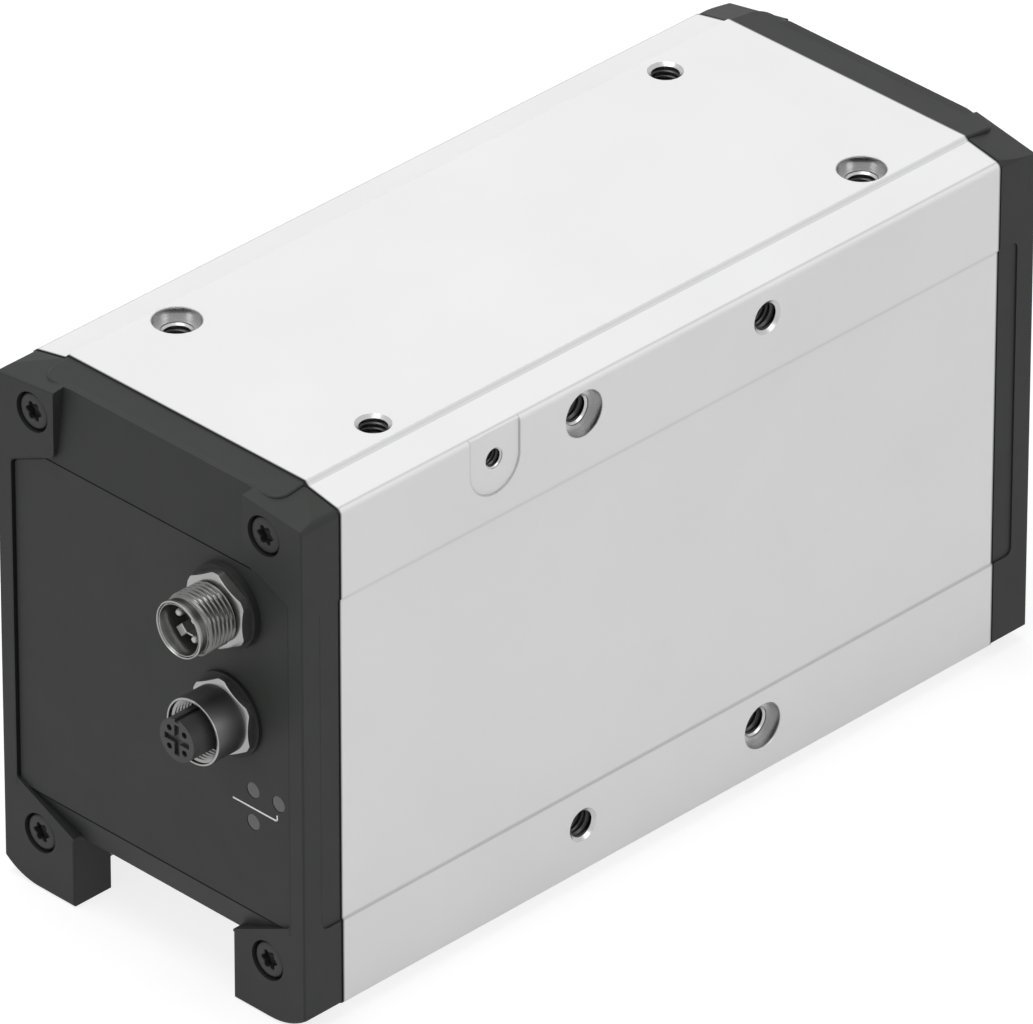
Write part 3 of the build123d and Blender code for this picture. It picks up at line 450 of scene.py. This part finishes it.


# The threads take the near-black metal: painted shade of the inside of the holes
top_threads = hole_threads(top_holes, inward_from_top, 0.5, 2.6, m6_end, M6)
make_piece("top_threads", *joined(top_threads), "housing_anodised", "gripper_body", finish="thread_metal_painted_shade")
side_threads = hole_threads(side_holes, inward_from_side, 0.45, 2.55, m6_end, M6)
side_threads += hole_threads([(earth_hole, False)], inward_from_side, 0.6, 0.6, small_end, M4)
make_piece("side_threads", *joined(side_threads), "housing_anodised", "gripper_body", finish="thread_metal_painted_shade")
for name, turn in (("front_jaw", -1), ("rear_jaw", 1)):
    jaw_holes = [((x, turn * jaw_middle + dy, jaw_face_z), x * dy < 0) for x in (-jaw_hole_x, jaw_hole_x)
                 for dy in (-jaw_hole_y, jaw_hole_y)]
    jaw_threads = hole_threads(jaw_holes, inward_from_jaw, 0.3, 1.7, small_end, M5)
    make_piece(f"{name}_threads", *joined(jaw_threads), "jaw_aluminium", name, finish="thread_metal_painted_shade")


# Machined surfaces of the drilled holes: turning marks in the centring bores and a bright mouth on each thread

def bore_liner(centre, axis, skin=0.05, mark=0.36, groove=0.07):
    """Thin skin over the wall and floor of a centring bore, with turning marks."""
    wall = [(bore_radius - skin - (groove if i % 2 else 0.0), 0.15 + i * mark)
            for i in range(int((bore_depth - 0.3) / mark))]
    floor_marks = [(bore_radius - 0.12 - i * mark, bore_depth - skin - (groove if i % 2 else 0.0))
                   for i in range(int((bore_radius - m6_radius - 0.3) / mark))]
    mouth = [(m6_radius + 0.02, bore_depth - skin), (m6_radius - 0.02, bore_depth + 0.05)]
    back = (bore_radius + 0.05, bore_depth + 0.05)
    return turned([(bore_radius + 0.05, 0.13)] + wall + floor_marks + mouth + [back], centre, axis)


def bright_mouth(centre, axis, radius, start, run, thickness=0.12):
    """Countersink of a thread, from just over its own radius down to its crest."""
    wide, narrow = radius * 1.09, radius * 0.86
    profile = [(wide, start), (narrow, start + run), (narrow, start + run + thickness),
               (wide, start + run + thickness)]
    return turned(profile, centre, axis)


def hole_mouths(holes, inward, run):
    start = {False: 0.02, True: bore_depth + 0.02}
    return [bright_mouth(spot, inward, m6_radius, start[bored], run) for spot, bored in holes]


def hole_liners(holes, inward):
    return [bore_liner(spot, inward) for spot, bored in holes if bored]


top_shapes = hole_mouths(top_holes, inward_from_top, 0.55) + hole_liners(top_holes, inward_from_top)
make_piece("top_hole_mouths", *joined(top_shapes), "housing_anodised", "gripper_body", finish="bore_metal")
earth_mouth = bright_mouth(earth_hole, inward_from_side, m4_radius, 0.37, 0.3)
side_shapes = (hole_mouths(side_holes, inward_from_side, 0.5) + [earth_mouth]
               + hole_liners(side_holes, inward_from_side))
make_piece("side_hole_mouths", *joined(side_shapes), "housing_anodised", "gripper_body", finish="bore_metal")


# Screws of the caps: rounded cylinder heads with a six-lobed drive recess

def lobes(angle, outer=1.92, inner=1.38):
    """Radius of the six-lobed drive outline."""
    wave = 0.5 + 0.5 * cos(6 * angle)
    return inner + (outer - inner) * wave ** 0.8


def lobe_screw(centre, axis, head=3.45, height=2.35, recess=1.5, seat_depth=7.5, shank=2.0, segments=96):
    """Screw with its seat at the centre point; the axis points out of the head."""
    first, second, along = axes_of(axis)
    centre = Vector(centre)
    rings = [
        (shank, -seat_depth),
        (shank, 0),
        (head, 0),
        (head, height - 0.55),
        (head - 0.08, height - 0.3),
        (head - 0.27, height - 0.09),
        (head - 0.55, height),
        (lambda a: lobes(a) + 0.14, height),
        (lobes, height - 0.13),
        (lobes, height - recess),
        (lambda a: lobes(a) * 0.45, height - recess - 0.25),
    ]
    points = []
    for radius, h in rings:
        for i in range(segments):
            angle = 2 * pi * i / segments
            r = radius(angle) if callable(radius) else radius
            points.append(centre + (first * cos(angle) + second * sin(angle)) * r + along * h)
    faces = grid_faces(len(rings), segments, round_rows=False)
    faces.append(tuple(range(segments)))
    faces.append(tuple(range((len(rings) - 1) * segments, len(rings) * segments)))
    return points, faces


# The seat is where the CAD screws have theirs: under their head, which lies a little below the cap's face
cad_sink, cad_head_height = 0.1, 2.6
seat_out = -cap_face_y - cad_sink - cad_head_height
for name, side in (("front", -1), ("rear", 1)):
    screws = [lobe_screw((x, side * seat_out, z), (0, side, 0)) for x in (-screw_x, screw_x)
              for z in screw_heights]
    piece = make_piece(f"{name}_drive_screws", *joined(screws), "black_screw_steel", "gripper_body")
    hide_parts(f"{name}_cap_screws")


# Power connector: threaded metal body with a double front lip and an open mouth

def threaded_wall(centre, axis, start, end, crest, root, pitch, segments=64, rows=8):
    """Outside wall of a thread as one skin, which runs out to its root at both ends."""
    first, second, along = axes_of(axis)
    centre = Vector(centre)
    count = int(round((end - start) / pitch * rows))
    points = []
    for j in range(count + 1):
        h = start + (end - start) * j / count
        for i in range(segments):
            angle = 2 * pi * i / segments
            phase = ((h - start) / pitch - i / segments) % 1.0
            ridge = min(1.0, max(0.0, 1.25 - abs(phase - 0.5) * 3.4))
            edge = min(1.0, (h - start) / (pitch * 0.6), (end - h) / (pitch * 0.6))
            r = root + (crest - root) * ridge * max(edge, 0.0)
            points.append(centre + (first * cos(angle) + second * sin(angle)) * r + along * h)
    return points, grid_faces(count + 1, segments, round_rows=False)


# Radii, and distances out from the panel
power_at = (port_x, panel_y, power_z)
thread_start, thread_stop, thread_crest, thread_root = 3.25, 9.85, 5.85, 5.35
neck_radius, neck_out = 5.25, 11.05
socket_radius, socket_floor = 4.7, 4.2
back_bore, back_out = 3.5, -13.4
lip = [(4.77, 11.64), (4.88, 11.64), (4.92, 11.25), (5.02, 11.25), (5.06, 11.68), (5.15, 11.8), (5.28, 11.8),
       (5.4, 11.66), (5.4, 11.2)]
power_thread = threaded_wall(power_at, out, thread_start, thread_stop, thread_crest, thread_root, 0.92)
power_neck = turned([(neck_radius, neck_out), (neck_radius, 9.95), (thread_root, thread_stop)], power_at, out,
                    closed=False)
power_shell = turned([(thread_root, thread_start), (thread_root, back_out), (back_bore, back_out),
                      (back_bore, socket_floor), (socket_radius, socket_floor), (socket_radius, 11.5)]
                     + lip + [(neck_radius, neck_out)], power_at, out, closed=False)
power_floor = turned([(back_bore + 0.1, socket_floor), (0.0, socket_floor)], power_at, out, closed=False)
# The thread and neck take a darker copy of the nickel: painted shade
power_piece = make_piece("power_thread_body", *joined([power_thread, power_neck, power_shell, power_floor]),
                         "connector_nickel", "gripper_body", first_faces=len(power_thread[1]) + len(power_neck[1]),
                         first_finish="thread_nickel_painted_shade")
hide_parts("power_connector")

# Contacts of the power connector: three domed pins, and a square one with a thin blade beside it
pin_tip, square_tip, contact_offset, pin_radius = 10.1, 9.2, 1.9, 0.72


def block(x0, x1, z0, z1, near_out, far_out, turn=0.0, bevel=0.12):
    """Box that stands out of the power connector's floor, turned about its own middle, with a bevelled tip."""
    xm, zm = (x0 + x1) / 2, (z0 + z1) / 2
    points = []
    for out_by, inset in ((near_out, 0.0), (far_out - bevel, 0.0), (far_out, bevel)):
        left, right, low, high = x0 + inset, x1 - inset, z0 + inset, z1 - inset
        for x, z in ((left, low), (right, low), (right, high), (left, high)):
            dx, dz = x - xm, z - zm
            points.append((port_x + xm + dx * cos(turn) - dz * sin(turn), panel_y - out_by,
                           power_z + zm + dx * sin(turn) + dz * cos(turn)))
    return points, [(0, 1, 2, 3), (8, 9, 10, 11)] + grid_faces(3, 4, round_rows=False)


def pin(x, z):
    profile = [(0.0, socket_floor), (pin_radius, socket_floor), (pin_radius, pin_tip - 0.6),
               (0.66, pin_tip - 0.3), (0.48, pin_tip - 0.08), (0.0, pin_tip)]
    return turned(profile, (port_x + x, panel_y, power_z + z), out, segments=32, closed=False)


contacts = [pin(-contact_offset, contact_offset), pin(contact_offset, contact_offset),
            pin(contact_offset, -contact_offset),
            block(-2.85, -0.95, -2.85, -0.95, socket_floor, square_tip, turn=pi / 4),
            block(-0.55, 0.85, -2.08, -1.72, socket_floor, square_tip)]
contact_piece = make_piece("power_pins", *joined(contacts), "contact_metal", "gripper_body")
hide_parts("power_contacts")

# Data connector: thin shell with its thread inside, as (radius, distance out)
com_at = (port_x, panel_y, com_z)
com_outside, com_inside, com_neck, com_step = 6.35, 5.92, 5.6, 2.3
com_shell = turned([(com_inside, 8.6), (com_inside, 2.7), (back_bore, 2.7), (back_bore, back_out),
                    (com_neck, back_out), (com_neck, com_step), (com_outside, com_step), (com_outside, 8.52)],
                   com_at, out, closed=False)
com_rim = turned([(com_outside, 8.52), (6.33, 8.62), (6.26, 8.7), (5.98, 8.7), (com_inside, 8.6)], com_at, out,
                 closed=False)
com_ridges = helix(com_at, out, 2.9, 8.55, wall=com_inside, crest=5.5, pitch=0.78, root=6.0, segments=64)
# The shell takes a darker copy of the nickel: painted shade
com_piece = make_piece("com_thread_shell", *joined([com_shell, com_ridges, com_rim]), "connector_nickel",
                       "gripper_body", first_faces=len(com_shell[1]), first_finish="shell_nickel_painted_shade")
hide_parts("com_connector")

# Hexagon nuts with a chamfer round their corners
nut_flats, nut_corner, nut_hole, nut_flat_face, nut_slope = 13.6, 7.45, 5.4, 6.6, 0.6


def hexagon_nut(centre, axis, height, segments=144):
    """Nut with flats across the first axis, standing on its centre point."""
    first, second, along = axes_of(axis)
    centre = Vector(centre)
    points = []
    for i in range(segments):
        angle = 2 * pi * i / segments
        edge = min(nut_corner, nut_flats / 2 / cos((angle + pi / 6) % (pi / 3) - pi / 6))
        drop = max(0.0, edge - nut_flat_face) * nut_slope
        rim = min(edge, nut_flat_face)
        way = first * cos(angle) + second * sin(angle)
        profile = ((nut_hole, 0.0), (nut_hole, height - 0.15), (nut_hole + 0.15, height), (rim, height),
                   (edge, height - drop), (edge, 0.0))
        points += [centre + way * r + along * h for r, h in profile]
    return points, grid_faces(segments, len(profile))


for name, z, seal, height in (("power", power_z, 1.4, 2.0), ("com", com_z, 0.7, 1.6)):
    piece = make_piece(f"{name}_hexagon_nut", *hexagon_nut((port_x, panel_y - seal, z), out, height),
                       "connector_nickel", "gripper_body")
    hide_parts(f"{name}_nut")


# Painted shade: a dark strip round the front panel, where its face starts, standing in for the shade of the seam
# there

def arc_corner(before, corner, after, radius, steps=6):
    """Points that round one corner of a flat path."""
    before, corner, after = Vector(before), Vector(corner), Vector(after)
    a, b = (before - corner).normalized(), (after - corner).normalized()
    half = a.angle(b) / 2
    start, end = corner + a * radius / tan(half), corner + b * radius / tan(half)
    middle = corner + (a + b).normalized() * radius / sin(half)
    ways = [(start - middle).lerp(end - middle, i / steps).normalized() for i in range(steps + 1)]
    return [middle + way * radius for way in ways]


def rounded_loop(spots, radius):
    path = []
    for i, spot in enumerate(spots):
        path += arc_corner(spots[i - 1], spot, spots[(i + 1) % len(spots)], radius)
    return path


def ribbon(path, half, y, lift, sunk=0.05):
    """Closed flat strip along a loop of (x, z), on the plane at y, raised a little towards the front."""
    section = ((-1, -sunk), (-0.7, lift), (0.7, lift), (1, -sunk))
    points = []
    count = len(path)
    for i, spot in enumerate(path):
        along = (path[(i + 1) % count] - path[i - 1]).normalized()
        across = Vector((-along.y, along.x)) * half
        for shift, height in section:
            place = spot + across * shift
            points.append((place.x, y - height, place.y))
    return points, grid_faces(count, len(section))


seam_shade_inset, seam_shade_half, seam_shade_corner, print_and_shade_lift = 0.17, 0.2, 1.3, 0.02
seam_shade_side, seam_shade_top = panel_side_x - seam_shade_inset, panel_top_x - seam_shade_inset
seam_shade_high, seam_shade_shoulder = panel_top_z - seam_shade_inset, panel_shoulder_z - seam_shade_inset
seam_shade_low = panel_bottom_z + seam_shade_inset
seam_shade_path = rounded_loop([(-seam_shade_top, seam_shade_high), (seam_shade_top, seam_shade_high), (seam_shade_side, seam_shade_shoulder),
                          (seam_shade_side, seam_shade_low), (-seam_shade_side, seam_shade_low), (-seam_shade_side, seam_shade_shoulder)], seam_shade_corner)
make_piece("front_panel_seam_shade", *ribbon(seam_shade_path, seam_shade_half, panel_y, print_and_shade_lift), "cap_moulding",
           "gripper_body", smooth=False, finish="seam_shade")

# White leader line beside the status lights, printed on the panel: places as (x, height over the feet)
line_half = 0.16
line_points = [(19.7, 40.7), (30.4, 40.7), (30.4, 41.7)]
box_faces = ((0, 1, 2, 3), (7, 6, 5, 4), (0, 4, 5, 1), (1, 5, 6, 2), (2, 6, 7, 3), (3, 7, 4, 0))


def printed_line(spots, half, lift):
    """Flat strip of ink along upright and level runs on the front panel."""
    points, faces = [], []
    for (xa, ha), (xb, hb) in zip(spots, spots[1:]):
        x0, x1 = min(xa, xb) - half, max(xa, xb) + half
        z0, z1 = foot_z + min(ha, hb) - half, foot_z + max(ha, hb) + half
        base = len(points)
        for y in (panel_y - lift, panel_y + 0.05):
            points += [(x0, y, z0), (x1, y, z0), (x1, y, z1), (x0, y, z1)]
        faces += [tuple(base + i for i in face) for face in box_faces]
    return points, faces


make_piece("leader_line", *printed_line(line_points, line_half, print_and_shade_lift), "cap_moulding", "gripper_body",
           smooth=False, finish="print_white")


# Floor, light and camera

def seen_rays(tree):
    """1 for the rays that show the background: from the camera, off gloss or through glass."""
    path = tree.nodes.new("ShaderNodeLightPath")
    shown = math_node(tree, "MAXIMUM", path.outputs["Is Camera Ray"], path.outputs["Is Glossy Ray"])
    return math_node(tree, "MAXIMUM", shown, path.outputs["Is Transmission Ray"])


def mixed_by_rays(tree, plain, shown):
    """One shader for lighting the object, another where the background is seen."""
    mixed = tree.nodes.new("ShaderNodeMixShader")
    tree.links.new(seen_rays(tree), mixed.inputs["Fac"])
    tree.links.new(plain, mixed.inputs[1])
    tree.links.new(shown, mixed.inputs[2])
    return mixed.outputs["Shader"]


def grey(value):
    return (value, value, value, 1.0)


def floor_finish(shade, glow, shown_shade):
    """Pale floor. Where it is seen it is white and keeps the object's shadow."""
    material = bpy.data.materials.new("floor_white")
    material.use_nodes = True
    tree = material.node_tree
    tree.nodes.clear()
    output = tree.nodes.new("ShaderNodeOutputMaterial")
    plain = tree.nodes.new("ShaderNodeBsdfDiffuse")
    plain.inputs["Color"].default_value = grey(shade)
    lit = tree.nodes.new("ShaderNodeBsdfDiffuse")
    lit.inputs["Color"].default_value = grey(shown_shade)
    bright = tree.nodes.new("ShaderNodeEmission")
    bright.inputs["Color"].default_value = grey(glow)
    shown = tree.nodes.new("ShaderNodeAddShader")
    tree.links.new(lit.outputs["BSDF"], shown.inputs[0])
    tree.links.new(bright.outputs["Emission"], shown.inputs[1])
    tree.links.new(mixed_by_rays(tree, plain.outputs["BSDF"], shown.outputs["Shader"]), output.inputs["Surface"])
    return material


floor_mesh = bpy.data.meshes.new("floor")
reach, gap_under_feet = 6.0, 0.0002
level = foot_z * MM - gap_under_feet
floor_corners = [(-reach, -reach, level), (reach, -reach, level), (reach, reach, level), (-reach, reach, level)]
floor_mesh.from_pydata(floor_corners, [], [(0, 1, 2, 3)])
floor_mesh.materials.append(floor_finish(shade=0.8, glow=0.8, shown_shade=0.28))
floor = bpy.data.objects.new("floor", floor_mesh)
bpy.context.scene.collection.objects.link(floor)


def background(tree, strength):
    node = tree.nodes.new("ShaderNodeBackground")
    node.inputs["Color"].default_value = grey(1.0)
    node.inputs["Strength"].default_value = strength
    return node.outputs["Background"]


world = bpy.data.worlds.new("studio")
bpy.context.scene.world = world
world.use_nodes = True
world_tree = world.node_tree
world_tree.nodes.clear()
world_output = world_tree.nodes.new("ShaderNodeOutputWorld")
light_strength, shown_strength = 0.5, 1.0
world_mix = mixed_by_rays(world_tree, background(world_tree, light_strength), background(world_tree, shown_strength))
world_tree.links.new(world_mix, world_output.inputs["Surface"])


def area_light(name, place, aim, size, power):
    light = bpy.data.lights.new(name, "AREA")
    light.shape = "DISK"
    light.size = size
    light.energy = power
    lamp = bpy.data.objects.new(name, light)
    lamp.location = place
    lamp.rotation_mode = "QUATERNION"
    lamp.rotation_quaternion = (Vector(aim) - Vector(place)).to_track_quat("-Z", "Y")
    bpy.context.scene.collection.objects.link(lamp)


middle = (0.0, 0.0, -0.05)
area_light("overhead", (-0.3, -0.2, 2.2), middle, size=1.6, power=26.0)
area_light("right_fill", (2.0, 0.4, 0.9), middle, size=1.2, power=6.0)
area_light("front_fill", (-0.4, -2.2, 0.9), middle, size=1.2, power=7.0)

camera_place = (1.585976, -1.595637, 1.347175)
camera_back = Vector((0.598545, -0.601687, 0.528883))
camera_roll = radians(0.05)
camera_data = bpy.data.cameras.new("camera")
camera_data.lens = 527.2
camera_data.sensor_width = 36.0
camera_data.clip_start, camera_data.clip_end = 0.05, 50.0
camera = bpy.data.objects.new("camera", camera_data)
camera.location = camera_place
camera.rotation_mode = "QUATERNION"
camera.rotation_quaternion = (-camera_back).to_track_quat("-Z", "Y") @ Quaternion((0, 0, 1), camera_roll)
bpy.context.scene.collection.objects.link(camera)
bpy.context.scene.camera = camera
bpy.context.scene.view_settings.view_transform = "Standard"
